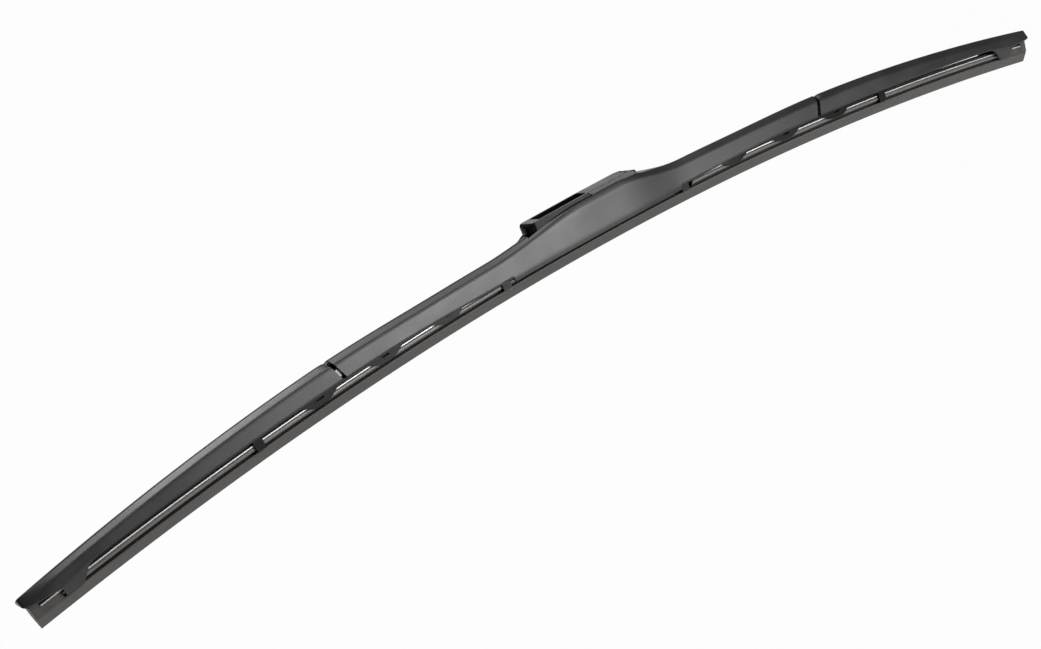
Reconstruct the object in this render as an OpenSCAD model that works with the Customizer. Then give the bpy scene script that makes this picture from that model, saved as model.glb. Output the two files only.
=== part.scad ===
// Hybrid windscreen wiper blade: a rubber element stiffened by two spring-steel
// strips, carried by hinged levers under a three-piece aerofoil cover.
// X runs along the blade, Y across it, Z up from the glass. The origin is the
// centre of the rivet that the adapter swings on.
// Places are given as s, the distance from the middle along the wiping edge,
// and n, the height above that edge, square to it. point() turns them into X and Z.

/* [Blade] */
// Length of the rubber element along its wiping edge
blade_len = 650; // [560:10:700]
// Radius of the free blade's camber, at the wiping edge
camber_r = 1940; // [1500:20:3000]
// Height of the rivet above the wiping edge
pin_n = 21; // [20.6:0.1:21.4]

/* [Rubber element] */
// Height of the wedge-shaped lip up to the top of its shoulder
lip_h = 5.5; // [5:0.1:6]
// Half thickness of the wiping edge
edge_half = 0.35; // [0.25:0.05:0.6]
// Half width of the shoulder
shoulder_half = 3.3; // [3:0.1:3.6]
// Thickness of the shoulder's straight side
shoulder_t = 0.9; // [0.6:0.1:1.2]
// Half thickness of the neck that lets the lip flip over
neck_half = 0.9; // [0.7:0.1:1.2]
// Height of the groove beside the neck
groove_h = 1.6; // [1.5:0.1:2]
// Half width of the flange under the strips
flange_half = 3.9; // [3.6:0.1:4]
// Thickness of the flange under the strips
flange_t = 2; // [1.6:0.1:2.2]
// Radius on the flange's lower edges
flange_r = 0.9; // [0.5:0.1:1.2]
// Half thickness of the web between the strips
web_half = 1.1; // [0.9:0.1:1.3]
// Half width of the bead above the strips
bead_half = 2.6; // [2.2:0.1:3]
// Height of the bead above the strips
bead_t = 0.7; // [0.5:0.1:0.9]

/* [Spring strips] */
// Thickness of each strip
strip_t = 0.9; // [0.7:0.05:1]
// Outer edge of each strip from the middle plane
strip_half = 4.1; // [4:0.1:4.3]
// Distance from the rubber's end to the strip's end
strip_back = 4.6; // [4:0.2:6]
// Gap between a strip and the rubber round it
strip_gap = 0.05; // [0.02:0.01:0.1]

/* [Covers] */
// Wall of the three covers
wall = 1.3; // [1.1:0.1:1.5]
// Gap between the main lever's ends and the covers' walls at their ridge
ridge_gap = 0.4; // [0.3:0.1:0.8]
// Widening of the covers from the ridge down to their lower edge
cover_flare = 0.8; // [0.6:0.1:1.2]
// Distance of the crest from the middle plane, towards the steep front side
crest_y = 4; // [3.6:0.1:4.4]
// Width of the flat along the crest
crest_w = 1; // [0.9:0.1:1.2]
// Fall of the rear slope behind the crest, for each mm across
back_slope = 0.35; // [0.3:0.01:0.38]
// Height of the ridge beside the arm joints
ridge_n = 20.2; // [20:0.2:21]
// Height of the top beside the arm joints
crest_n = 23.2; // [22.8:0.2:24]
// Drop of the centre cover's top between joint and swell
waist_drop = 0.9; // [0.4:0.1:1.2]
// Height of the walls beside the adapter
middle_n = 26.7; // [26.4:0.1:27.4]
// Distance from the middle to where the swell starts
swell_start_s = 62; // [60:1:66]
// Distance from the middle to the full swell
swell_full_s = 27; // [25:1:30]
// Drop of the end cover's top from the joint to its tip
tip_drop = 5.2; // [4.6:0.2:5.6]
// Overhang of the end cover past the rubber
tip_over = 3.4; // [2.6:0.2:4.6]
// Height of the covers' lower edge along the side windows
hem_n = 12.8; // [12.6:0.1:13.4]
// Length of the centre cover's low skirt from the middle
skirt_s = 55.4; // [54:0.2:56]
// Width of the slanted gap between the covers
cover_gap = 2.2; // [1.8:0.1:3]
// Slant of that gap from the upright
gap_slant = 18; // [15:1:22]

/* [Levers] */
// Distance from the middle to each arm joint
joint_s = 157; // [155:1:160]
// Height of each arm joint
joint_n = 15.7; // [15.6:0.1:16]
// Distance from the middle to each yoke's pin
yoke_s = 132; // [130:1:134]
// Height of each yoke's pin
yoke_n = 14.6; // [14.5:0.1:14.8]
// Sheet of the steel levers
sheet_t = 1; // [0.9:0.1:1.1]
// Half width of the main lever over its ends
main_half = 5.5; // [5.4:0.1:5.6]
// Half width of the main lever at the adapter
main_mid_half = 7; // [6.9:0.1:7.1]
// Half width of the arm levers
arm_half = 3.1; // [3:0.1:3.3]
// Radius of the arm joint pins
joint_pin_r = 1.5; // [1.3:0.1:1.7]
// Radius of the yoke pins
yoke_pin_r = 1.2; // [1:0.1:1.3]
// Radius of the rivet under the adapter
rivet_r = 2.5; // [2.3:0.1:2.7]
// Running clearance of a pin in its bore
run_gap = 0.05; // [0.03:0.01:0.08]

/* [Yokes] */
// Distance from a yoke's pin to the middle of each end claw
yoke_reach = 73; // [72:0.5:75]
// Width of a claw along the blade
claw_w = 4.8; // [4:0.2:5.4]
// Distance between the yoke's lobes
lobe_pitch = 38; // [36:0.5:40]
// Length of a lobe's foot
lobe_w = 7; // [6:0.5:9]
// Height of the lobes' feet
lobe_n = 7.4; // [7.2:0.1:7.8]
// Length of the slot over each lobe
slot_w = 4.5; // [3:0.25:6]
// Height of that slot
slot_h = 0.8; // [0.6:0.1:1]
// Height of that slot above the wiping edge
slot_n = 10.4; // [10.2:0.1:10.6]
// Wall of the yokes and claws
yoke_t = 0.9; // [0.8:0.1:1]

/* [End claws] */
// Distance from the rubber's end to the outer face of the end claw
end_claw_back = 16; // [15:0.5:18]
// Length of the end claw
end_claw_w = 12; // [10:0.5:14]

/* [Adapter] */
// Half width of the adapter over its cheeks
adapter_half = 5.7; // [5.6:0.05:5.75]
// Half width of the space for the arm's hook
hook_half = 4.7; // [4.6:0.1:4.8]
// Length of the adapter from the rivet to its rounded nose
nose_reach = 37; // [36:0.5:40]
// Length of the adapter from the rivet to its tail
tail_reach = 34; // [32:0.5:35]
// Height of the adapter's top above the rivet
top_h = 7.8; // [7.5:0.1:8.2]
// Depth of the adapter below the rivet
floor_h = 8.4; // [8:0.1:8.6]
// Radius of the saddle that the hook bends round
saddle_r = 4.1; // [4:0.1:4.3]
// Radius of the rounded nose
nose_r = 3.6; // [3.2:0.1:3.8]
// Start of the cap, behind the rivet
cap_start = 2; // [1:0.5:4]
// Height of the tail's rim above the rivet, where the cap sits
cap_seat_h = 4.6; // [4.4:0.1:5]
// Thickness of the cap's top
cap_t = 1.4; // [1:0.1:1.8]
// Outer radius of the bush in the saddle
bush_r = 3.3; // [3.2:0.05:3.4]

/* [Clearances] */
// Gap between pieces that move past each other
move_gap = 0.3; // [0.25:0.05:0.3]
// Gap between pieces that clip together
clip_gap = 0.1; // [0.05:0.01:0.1]
// Gap round a pin that is riveted or pressed in
fit_gap = 0.03; // [0.02:0.01:0.05]

/* [Hidden] */
// Smoothness of the long camber arcs, of small circles and of hulls
arc_fn = 720;
round_fn = 48;
// How far a form runs into the one it grows from
root = 0.2;
// Half size of the blocks that cut right through a piece
big = 60;

end_s = blade_len / 2;
neck_top_n = lip_h + groove_h;
strip_n = neck_top_n + flange_t + strip_gap;
bead_n = strip_n + strip_t + strip_gap;
element_n = bead_n + bead_t;
claw_half = strip_half + move_gap + yoke_t;
claw_roof_n = element_n + move_gap;
// Top of a yoke's roof, and the middle of its thickness
yoke_top_n = claw_roof_n + yoke_t;
roof_mid_n = claw_roof_n + yoke_t / 2;
foot_n = lip_h + (groove_h - yoke_t) / 2;
// Round ends of the levers at the joints and at the yoke pins
ear_r = joint_pin_r + 1.1;
yoke_ear_r = yoke_pin_r + 1;
// Flat heads of the rivets
head_t = 0.35;
head_lip = 0.5;
liner_gap = 0.15;
// Distance from the neck to a claw's foot
foot_gap = 1.1;
// Heights of the main lever's edges, along its ends and at the adapter
main_arm_low_n = yoke_top_n + 2;
main_top_n = ridge_n - 3.2;
middle_low_n = element_n + 0.8;
middle_top_n = middle_n - 4;
// Where the main lever's walls start and end their jog
plan_in_s = nose_reach - 1;
plan_out_s = plan_in_s + 8;
// Ends of the web over the main lever
web_in_s = plan_out_s + 1;
web_out_s = yoke_s - 9;
// End of the arm lever, and its height there
arm_end_s = end_s - end_claw_back - end_claw_w - 3;
arm_end_n = crest_n - tip_drop - wall - 1.5;
// Lobes' blend into the arches between them, and the arches' height
lobe_blend = 8;
arch_n = 9.9;
yoke_rim = 0.9;
// Share of the width that is left at the tip, and how far its closing wall is sunk
tip_squeeze = 0.88;
tip_sink = 0.2;
// Shift of the gap between the covers from the arm joint, towards the middle
gap_shift = 0.3;
// Clip pads inside the covers: size at the lever, growth towards the cover, and drop below its rear ridge
pad_w = 3;
pad_h = 2;
pad_flare = 0.6;
pad_drop = 3.4;
pad_slice_t = 0.2;
// Distance of the last plain ring of a cover from the arm joint
ring_back_s = 9;
// Half widths of the covers at the ridge between side and bevel, and at their lower edge
ridge_half = main_half + ridge_gap + wall;
cover_half = ridge_half + cover_flare;
// Half width of the covers beside the adapter, outside the rivet's heads, and bevel of their top there
middle_half = main_mid_half + fit_gap + head_t + clip_gap + wall;
middle_swell = middle_half - ridge_half;
middle_bevel = 1.2;
middle_ridge_n = middle_n - 1.9;
// Ends of the waist, and share of it that the ridge follows
waist_s = swell_start_s + 30;
waist_share = 0.7;
// Curve of the end cover's fall, share of it that the ridge follows, and the ridge's extra fall at the tip
fall_power = 1.7;
fall_share = 0.92;
nose_fall = 1;
nose_start_s = end_s - 18;
tip_s = end_s + tip_over;
// Drops and rises of the covers' lower edge
low_drop = 0.5;
skirt_n = 8.2;
skirt_crease_n = 10.2;
skirt_y = claw_half + 2.4;
skirt_step = 0.6;
arm_hem_drop = 0.3;
waist_hem_drop = 2;
hem_rise_s = joint_s + 60;
hem_rise = 0.4;
tip_hem_drop = 0.6;
tip_hem_rise = 1.2;
claw_ramp = 5;
claw_step = 0.4;
claw_skin_y = claw_half + 0.4;
// Draft of the side between its lowest corner and the hem, and the covers' rounded corners
hem_draft = 0.2;
ridge_round = 1.1;
crest_round = 0.4;
// Inner skin: share of the wall below the ridge, and share of the crest's place
ridge_skin = 0.8;
crest_skin = 0.93;
// Cap's sloping ends: its start, the slope under it, its end's lean, and the drop and run of its rounded tail
cap_lead = 3;
cap_lean = 2.2;
cap_fall = 0.5;
cap_run = 6;
// Clip pads' distances from the ends of the main lever's web, and from the end claw
pad_in = 21;
pad_out = 5;
pad_joint = 28;
pad_far = 40;
pad_near = 10;
// Half width of the tongue that closes the cap's end
tongue_half = adapter_half - 1.7;
// Radius of the adapter's nose seen from above
nose_plan_r = 5.2;
// Opening in the centre cover round the adapter
opening_gap = 1.6;
opening_side = 0.4;
// Adapter's tail floor above the rivet, and the drop of its nose
tail_floor_h = -3;
nose_dip = 0.5;
// Step from the lip's wedge to its shoulder
lip_straight = 0.6;
// Length of the end clip, and its rise above the rubber
clip_len = 14.6;
clip_rise = 0.9;

// Turn along the camber at distance s from the middle, in degrees
function turn(s) = s / camber_r * 180 / PI;
// X and Z of the point at distance s and height n
function point(s, n) = [(camber_r + n) * sin(turn(s)), (camber_r + n) * cos(turn(s)) - camber_r - pin_n];
// Smooth step from 0 at a to 1 at b
function ease(x, a, b) = let (t = max(0, min(1, (x - a) / (b - a)))) t * t * (3 - 2 * t);
function mix(a, b, t) = a + (b - a) * t;
// Points along an edge from [s, n] to [s, n], so that it follows the camber
function run(a, b, count = 8) = [for (i = [0:count]) mix(a, b, i / count)];

// Sweeps a flat profile, X up and Y across, along the camber from s0 to s1
module arc(s0, s1) {
    translate([0, 0, -camber_r - pin_n])
        rotate([90, 0, 0])
            rotate([0, 0, 90 - turn(s1)])
                rotate_extrude(angle = turn(s1) - turn(s0), $fn = arc_fn)
                    translate([camber_r, 0])
                        children();
}

// Rectangle for arc(): heights n0 to n1, across y0 to y1
module band(n0, n1, y0, y1) {
    translate([n0, y0]) square([n1 - n0, y1 - y0]);
}

// Plate from y0 to y1 whose side outline is a list of [s, n]
module plate(y0, y1, outline) {
    translate([0, y1, 0])
        rotate([90, 0, 0])
            linear_extrude(y1 - y0)
                polygon([for (p = outline) point(p[0], p[1])]);
}

// Two plates at each side of the middle plane
module cheeks(outer, thick, outline) {
    plate(outer - thick, outer, outline);
    plate(-outer, thick - outer, outline);
}

// Round bar across the blade at s, n
module cross_bar(s, n, r, half) {
    p = point(s, n);
    translate([p[0], half, p[1]])
        rotate([90, 0, 0])
            cylinder(h = 2 * half, r = r, $fn = round_fn);
}

// Shapes of the covers

// Swell of the centre cover, 0 along the arms and 1 beside the adapter
function swell(s) = 1 - ease(abs(s), swell_full_s, swell_start_s);
// Drop towards the tip of the end cover
function tip_fall(s) = pow(max(0, (abs(s) - joint_s) / (tip_s - joint_s)), fall_power) * tip_drop;
// Shallow waist of the centre cover between joint and swell
function waist(s) = waist_drop * (1 - ease(abs(s), waist_s, joint_s));
function top_n(s) = mix(crest_n - waist(s) - tip_fall(s), middle_n, swell(s));
function arm_edge_n(s) = ridge_n - waist_share * waist(s) - fall_share * tip_fall(s);
function edge_n(s) = mix(arm_edge_n(s), middle_ridge_n, swell(s)) - nose_fall * ease(abs(s), nose_start_s, tip_s);
function edge_y(s) = ridge_half + middle_swell * swell(s);
// Front and rear edge of the flat top, and the rear ridge, which lies lower along the arms
function top_y(s) = mix(crest_y, middle_half - middle_bevel, swell(s));
function back_y(s) = mix(crest_w - crest_y, middle_half - middle_bevel, swell(s));
function back_n(s, y) = mix(top_n(s) - back_slope * (y - back_y(s)), edge_n(s), swell(s));
function low_y(s) = cover_half + middle_swell * swell(s);

// Height of a cover's lower edge: arched over the window, low at the middle and at the end claw
claw_in_s = end_s - end_claw_back - end_claw_w;
claw_out_s = end_s - end_claw_back;
function centre_hem(s) = hem_n - arm_hem_drop - waist_hem_drop * (1 - ease(abs(s), skirt_s, joint_s - 20));
function skirt_part(s) = 1 - ease(abs(s), skirt_s - skirt_step, skirt_s);
function claw_part(s) = ease(s, claw_in_s - claw_ramp, claw_in_s)
    * (1 - ease(s, claw_out_s - claw_step, claw_out_s));
function end_hem(s) = hem_n + hem_rise * ease(s, hem_rise_s, claw_in_s)
    - tip_hem_drop * ease(s, claw_out_s, end_s) + tip_hem_rise * ease(s, end_s - 1, tip_s);

// Corner rounded with two extra points
function corner(a, b, c, r) = let (u = (a - b) / norm(a - b), v = (c - b) / norm(c - b))
    [b + u * r, b + (u + v) * r * 0.28, b + v * r];
// Half of a cover's section from its lowest point to the flat top, as [y, n]; next is the flat's other edge
function half_section(low, hem, edge, crest, next) = concat([low, hem],
    corner(hem, edge, crest, ridge_round), corner(edge, crest, next, crest_round));
function flip(p) = [-p[0], p[1]];
function reversed(list) = [for (i = [len(list) - 1:-1:0]) list[i]];
// Whole section from front to back; the front's points are given by their distance from the middle plane
function section(low, hem, edge, crest, back_edge, back_crest) = concat(
    [for (p = half_section(low, hem, edge, crest, flip(back_crest))) flip(p)],
    reversed(half_section(low, hem, back_edge, back_crest, flip(crest))));
// Ring of a cover: outside from front to back, then inside back to front
function shell_ring(low, hem, edge, crest, back_edge, back_crest) = concat(
    section(low, hem, edge, crest, back_edge, back_crest),
    reversed(section(low - [wall, 0], hem - [wall, 0], edge - [wall, wall * ridge_skin],
        [crest[0] * crest_skin, crest[1] - wall], back_edge - [wall, wall * ridge_skin],
        [back_crest[0] * crest_skin, crest[1] - wall])));
function centre_ring(s) = let (k = skirt_part(s), hem = centre_hem(s), y = edge_y(s))
    shell_ring([mix(low_y(s) - hem_draft, skirt_y, k), mix(hem - low_drop, skirt_n, k)],
        [low_y(s), mix(hem, skirt_crease_n, k)], [y, edge_n(s)], [top_y(s), top_n(s)],
        [y, back_n(s, y)], [back_y(s), top_n(s)]);
function end_ring(s) = let (k = claw_part(s), hem = end_hem(s),
        squeeze = mix(1, tip_squeeze, ease(s, claw_out_s, tip_s)), y = ridge_half * squeeze)
    shell_ring([mix(cover_half - hem_draft, claw_skin_y, k) * squeeze, mix(hem - low_drop, foot_n - 0.1, k)],
        [cover_half * squeeze, hem], [y, edge_n(s)], [top_y(s), top_n(s)], [y, back_n(s, y)],
        [back_y(s), top_n(s)]);

// Skin through rings of equal length at the stations; each ring is outside plus inside
module shell(stations, rings) {
    size = len(rings[0]);
    half = size / 2;
    last = (len(rings) - 1) * size;
    points = [for (i = [0:len(rings) - 1]) for (q = rings[i])
        let (p = point(stations[i], q[1])) [p[0], q[0], p[1]]];
    sides = [for (i = [0:len(rings) - 2]) for (j = [0:size - 1])
        let (a = i * size + j, b = i * size + (j + 1) % size)
            each [[a, b, b + size], [a, b + size, a + size]]];
    caps = [for (j = [0:half - 2]) let (k = size - 1 - j)
        each [[j, k, k - 1], [j, k - 1, j + 1], [last + j, last + k - 1, last + k],
            [last + j, last + j + 1, last + k - 1]]];
    polyhedron(points, concat(sides, caps));
}

// Half space beyond a slanted plane near the arm joint, on the side away from the middle
module beyond_gap(shift) {
    p = point(joint_s - gap_shift + shift, (ridge_n + hem_n) / 2);
    translate([p[0], 0, p[1]])
        rotate([0, turn(joint_s) + gap_slant, 0])
            translate([0, -big, -end_s])
                cube([end_s, 2 * big, 2 * end_s]);
}

// Adapter and its pivot

// Hook adapter: two cheeks round a saddle, with a rounded nose and a hollow tail
module adapter() {
    color([0.03, 0.03, 0.03])
    difference() {
        union() {
            intersection() {
                across(adapter_half) adapter_side();
                translate([0, 0, -big]) linear_extrude(2 * big) adapter_plan();
            }
            across(tongue_half) adapter_tongue();
        }
        difference() {
            hook_space();
            rotate([90, 0, 0]) cylinder(h = big, r = saddle_r, center = true, $fn = round_fn);
        }
        translate([saddle_r + 2, -hook_half, tail_floor_h])
            cube([tail_reach - saddle_r - 5, 2 * hook_half, big]);
        rotate([90, 0, 0]) cylinder(h = big, r = bush_r + fit_gap, center = true, $fn = round_fn);
    }
}

// Extrudes a side outline to the same half width at each side
module across(half) {
    translate([0, half, 0])
        rotate([90, 0, 0])
            linear_extrude(2 * half)
                children();
}

// Top view of the adapter, round at its nose
module adapter_plan() {
    flat_half = adapter_half - nose_plan_r;
    for (side = [-1, 1])
        translate([-nose_reach + nose_plan_r, side * flat_half]) circle(r = nose_plan_r, $fn = round_fn);
    translate([-nose_reach, -flat_half]) square([nose_plan_r, 2 * flat_half]);
    translate([-nose_reach + nose_plan_r, -adapter_half])
        square([nose_reach - nose_plan_r + tail_reach + 1, 2 * adapter_half]);
}

module adapter_side() {
    polygon([
        [tail_reach - 3, tail_floor_h - 1.4], [tail_reach, tail_floor_h], [tail_reach, cap_seat_h],
        [cap_start + 3, cap_seat_h], [cap_start - clip_gap, top_h], [-nose_reach + nose_r, top_h - nose_dip],
        [-nose_reach + nose_r, top_h - nose_dip - 2 * nose_r], [-nose_reach + nose_r + 3, tail_floor_h - 1],
        [-saddle_r - 8, -floor_h], [saddle_r + 2, -floor_h], [saddle_r + 8, tail_floor_h - 1.4]]);
    translate([-nose_reach + nose_r, top_h - nose_dip - nose_r]) circle(r = nose_r, $fn = round_fn);
}

// Tongue that closes the end of the cap
module adapter_tongue() {
    polygon([[tail_reach - 3, cap_seat_h - 1], [tail_reach, cap_seat_h - 1],
        [tail_reach + 0.8, cap_seat_h + 1], [tail_reach + 0.2, cap_seat_h + 2],
        [tail_reach - 2.4, top_h - 0.7], [tail_reach - 5.6, top_h - 0.7], [tail_reach - 5.2, top_h - 1.7],
        [tail_reach - 3, cap_seat_h + 1]]);
}

// Space between the cheeks where the arm's hook goes round the saddle
module hook_space() {
    translate([-nose_reach + 2 * nose_r + 1, -hook_half, -big / 2])
        cube([nose_reach - 2 * nose_r - 1 + saddle_r + 1, 2 * hook_half, big]);
}

// Cap that closes the adapter's tail
module adapter_cap() {
    color([0.28, 0.28, 0.28])
    difference() {
        across(adapter_half) cap_side();
        translate([cap_start + 4, -hook_half, cap_seat_h - 1])
            cube([tail_reach - cap_start - 11, 2 * hook_half, top_h - cap_seat_h + 1 - cap_t]);
        translate([tail_reach - cap_run, -tongue_half - clip_gap, cap_seat_h - 1])
            cube([big, 2 * (tongue_half + clip_gap), big]);
    }
}

module cap_side() {
    polygon([[cap_start, top_h], [cap_start + cap_lead + clip_gap, cap_seat_h + clip_gap],
        [tail_reach, cap_seat_h + clip_gap], [tail_reach - cap_lean, top_h - cap_fall],
        [tail_reach - cap_run, top_h]]);
}

// Plastic bush pressed into the saddle
module pivot_bush() {
    color([0.75, 0.73, 0.68])
    rotate([90, 0, 0])
        difference() {
            cylinder(h = 2 * adapter_half, r = bush_r, center = true, $fn = round_fn);
            cylinder(h = big, r = rivet_r + run_gap, center = true, $fn = round_fn);
        }
}

// Steel rivet through both walls of the main lever
module pivot_rivet() {
    color([0.7, 0.7, 0.72])
    headed_pin([0, 0], rivet_r, main_mid_half);
}

// Pin across the blade at [x, z], with a flat head outside each wall
module headed_pin(place, r, half) {
    translate([place[0], 0, place[1]])
        rotate([90, 0, 0]) {
            cylinder(h = 2 * half + 2 * fit_gap, r = r, center = true, $fn = round_fn);
            for (side = [0, 1])
                mirror([0, 0, side])
                    translate([0, 0, half + fit_gap])
                        cylinder(h = head_t, r = r + head_lip, $fn = round_fn);
        }
}

// Levers

// Channel of sheet steel that carries the adapter, the centre cover and both arms
module main_lever() {
    color([0.2, 0.2, 0.21])
    difference() {
        union() {
            intersection() {
                plate(-big, big, main_outline());
                translate([0, 0, -big]) linear_extrude(2 * big) main_plan();
            }
            for (side = [0, 1])
                mirror([side, 0, 0])
                    plate(-main_half, main_half, concat(
                        run([web_in_s, main_top_n - sheet_t], [web_out_s, main_top_n - sheet_t]),
                        run([web_out_s, main_top_n], [web_in_s, main_top_n])));
        }
        rotate([90, 0, 0]) cylinder(h = big, r = rivet_r + fit_gap, center = true, $fn = round_fn);
        for (side = [0, 1])
            mirror([side, 0, 0]) cross_bar(joint_s, joint_n, joint_pin_r + fit_gap, big);
    }
}

// Side outline of the main lever: low and tall at the adapter, slim along the arms, round at the joints
function main_low_n(s) = mix(main_arm_low_n, middle_low_n, 1 - ease(abs(s), plan_in_s, plan_in_s + 12))
    - (main_arm_low_n - joint_n + ear_r) * ease(abs(s), joint_s - ear_r - 4, joint_s - ear_r + 1);
function main_high_n(s) = mix(main_top_n, middle_top_n, 1 - ease(abs(s), plan_in_s - 8, plan_in_s + 12));
main_span = joint_s + ear_r * 0.5;
function main_outline() = let (count = 44, step = 2 * main_span / count) concat(
    [for (i = [0:count]) let (s = -main_span + i * step) [s, main_low_n(s)]],
    [[joint_s + ear_r, joint_n - 1], [joint_s + ear_r, joint_n + 1]],
    [for (i = [count:-1:0]) let (s = -main_span + i * step) [s, main_high_n(s)]],
    [[-joint_s - ear_r, joint_n + 1], [-joint_s - ear_r, joint_n - 1]]);

// Top view of the two walls, jogged out beside the adapter
module main_plan() {
    reach = joint_s + big / 4;
    for (side = [0, 1])
        mirror([0, side])
            polygon([[-reach, main_half - sheet_t], [-plan_out_s, main_half - sheet_t],
                [-plan_in_s, main_mid_half - sheet_t], [plan_in_s, main_mid_half - sheet_t],
                [plan_out_s, main_half - sheet_t], [reach, main_half - sheet_t], [reach, main_half],
                [plan_out_s, main_half], [plan_in_s, main_mid_half], [-plan_in_s, main_mid_half],
                [-plan_out_s, main_half], [-reach, main_half]]);
}

// Channel that carries an end cover and, on its short inner end, a yoke
module arm_lever() {
    color([0.2, 0.2, 0.21])
    difference() {
        plate(-arm_half, arm_half, arm_outline(0));
        plate(-arm_half + sheet_t, arm_half - sheet_t, arm_outline(sheet_t));
        cross_bar(joint_s, joint_n, joint_pin_r + run_gap, big);
        cross_bar(yoke_s, yoke_n, yoke_pin_r + fit_gap, big);
    }
}

// Side outline of the arm lever, or of its hollow, cut deeper below and lower on top
function arm_outline(cut) = concat(
    [[yoke_s - ear_r - cut * 2, yoke_n - 1.2], [yoke_s - 1.2, yoke_n - yoke_ear_r - cut * 3]],
    run([yoke_s + 1.2, yoke_n - yoke_ear_r - cut * 3], [joint_s - 2, joint_n - ear_r - cut * 3]),
    run([joint_s + 2, joint_n - ear_r - cut * 3], [arm_end_s + cut * 2, hem_n + 0.5 - cut * 3]),
    run([arm_end_s + cut * 2, arm_end_n - cut], [joint_s + 6, joint_n + ear_r - cut]),
    [[joint_s - 5, joint_n + ear_r - cut], [yoke_s + 2, yoke_n + yoke_ear_r - cut],
        [yoke_s - ear_r - cut * 2, yoke_n + 1.4]]);

// Riveted pin of the arm joint
module joint_pin() {
    color([0.7, 0.7, 0.72])
    headed_pin(point(joint_s, joint_n), joint_pin_r, main_half);
}

// Two plastic washers that fill the joint between the levers
module joint_liner() {
    color([0.75, 0.73, 0.68])
    difference() {
        cross_bar(joint_s, joint_n, ear_r - 0.2, main_half - sheet_t - fit_gap);
        cross_bar(joint_s, joint_n, joint_pin_r + fit_gap, big);
        translate([0, -arm_half - liner_gap, -big])
            cube([big * 6, 2 * (arm_half + liner_gap), 2 * big]);
    }
}

module yoke_pin() {
    color([0.7, 0.7, 0.72])
    cross_bar(yoke_s, yoke_n, yoke_pin_r, arm_half + move_gap + yoke_t);
}

// Yokes

// Lower edge of a yoke's skirt: three lobes with arches between, rising past the outer lobes
function lobe_part(s, c) = 1 - ease(abs(s - c), lobe_w / 2, lobe_w / 2 + lobe_blend);
function lobes(s) = max([for (i = [-1:1]) lobe_part(s, yoke_s + i * lobe_pitch)]);
function lobe_edge_n(s) = mix(mix(arch_n, roof_mid_n, ease(abs(s - yoke_s), lobe_pitch + 3, lobe_pitch + 13)),
    lobe_n, lobes(s));
lobe_span = lobe_pitch + lobe_w / 2 + lobe_blend;

// Bridge that shares its load between two claws, with three slotted lobes between them
module yoke() {
    claw_in = yoke_s - yoke_reach - claw_w / 2;
    claw_out = yoke_s + yoke_reach + claw_w / 2;
    color([0.16, 0.16, 0.16])
    difference() {
        union() {
            arc(claw_in + claw_w / 2, claw_out - claw_w / 2) claw_roof();
            cheeks(claw_half, yoke_t, yoke_skirt());
            for (s = [claw_in, claw_out - claw_w])
                arc(s, s + claw_w) claw_section();
            cheeks(arm_half + move_gap + yoke_t, yoke_t, [
                [yoke_s - 5, roof_mid_n], [yoke_s + 5, roof_mid_n], [yoke_s + yoke_ear_r, yoke_n + 1],
                [yoke_s + 1, yoke_n + yoke_ear_r], [yoke_s - 1, yoke_n + yoke_ear_r],
                [yoke_s - yoke_ear_r, yoke_n + 1]]);
        }
        cross_bar(yoke_s, yoke_n, yoke_pin_r + run_gap, big);
        for (i = [-1:1])
            let (s = yoke_s + i * lobe_pitch)
                arc(s - slot_w / 2, s + slot_w / 2)
                    band(slot_n - slot_h / 2, slot_n + slot_h / 2, -big / 2, big / 2);
    }
}

// Side outline of the yoke's skirt; its top lies inside the roof, and above it as a low rim at the pin
function yoke_skirt() = let (count = 60, step = 2 * lobe_span / count) concat(
    [for (i = [0:count]) let (s = yoke_s - lobe_span + i * step) [s, lobe_edge_n(s)]],
    run([yoke_s + lobe_span, roof_mid_n], [yoke_s + 20, roof_mid_n]),
    [[yoke_s + 12, yoke_top_n + yoke_rim], [yoke_s - 12, yoke_top_n + yoke_rim]],
    run([yoke_s - 20, roof_mid_n], [yoke_s - lobe_span, roof_mid_n]));

module claw_roof() {
    band(claw_roof_n, yoke_top_n, -claw_half, claw_half);
}

// Section of a claw: roof, and two sides with feet turned in below the strips
module claw_section() {
    claw_roof();
    for (side = [0, 1])
        mirror([0, side]) {
            band(foot_n, yoke_top_n, claw_half - yoke_t, claw_half);
            band(foot_n, foot_n + yoke_t, neck_half + foot_gap, claw_half);
        }
}

// Covers

// Stations along a cover, closer together where its edge steps
function steps(a, b, count) = [for (i = [0:count]) mix(a, b, i / count)];

// Aerofoil cover over the main lever, open above the adapter
module centre_cover() {
    half_stations = concat(steps(0, swell_full_s, 3), steps(swell_full_s + 4, skirt_s - 1, 7),
        [skirt_s - skirt_step, skirt_s], steps(skirt_s + 3, joint_s - ring_back_s, 8),
        [joint_s + ring_back_s - 1]);
    count = len(half_stations);
    stations = concat([for (i = [count - 1:-1:1]) -half_stations[i]], half_stations);
    color([0.22, 0.22, 0.22])
    difference() {
        union() {
            shell(stations, [for (s = stations) centre_ring(s)]);
            for (side = [0, 1], s = [web_in_s + pad_in, web_out_s - pad_out])
                mirror([side, 0, 0]) cover_pads(s, main_half + clip_gap, cover_half - wall + root);
        }
        for (side = [0, 1])
            mirror([side, 0, 0]) beyond_gap(-cover_gap / 2);
        translate([-nose_reach - opening_gap, -adapter_half - opening_side, 0])
            cube([nose_reach + tail_reach + 2 * opening_gap, 2 * (adapter_half + opening_side), big]);
    }
}

// Pads inside a cover that clip it to a lever
module cover_pads(s, from_y, to_y) {
    for (side = [0, 1])
        mirror([0, side, 0])
            hull() {
                pad_slice(s, from_y, pad_w, pad_h);
                pad_slice(s, to_y - pad_slice_t, pad_w + pad_flare, pad_h + pad_flare);
            }
}

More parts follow.
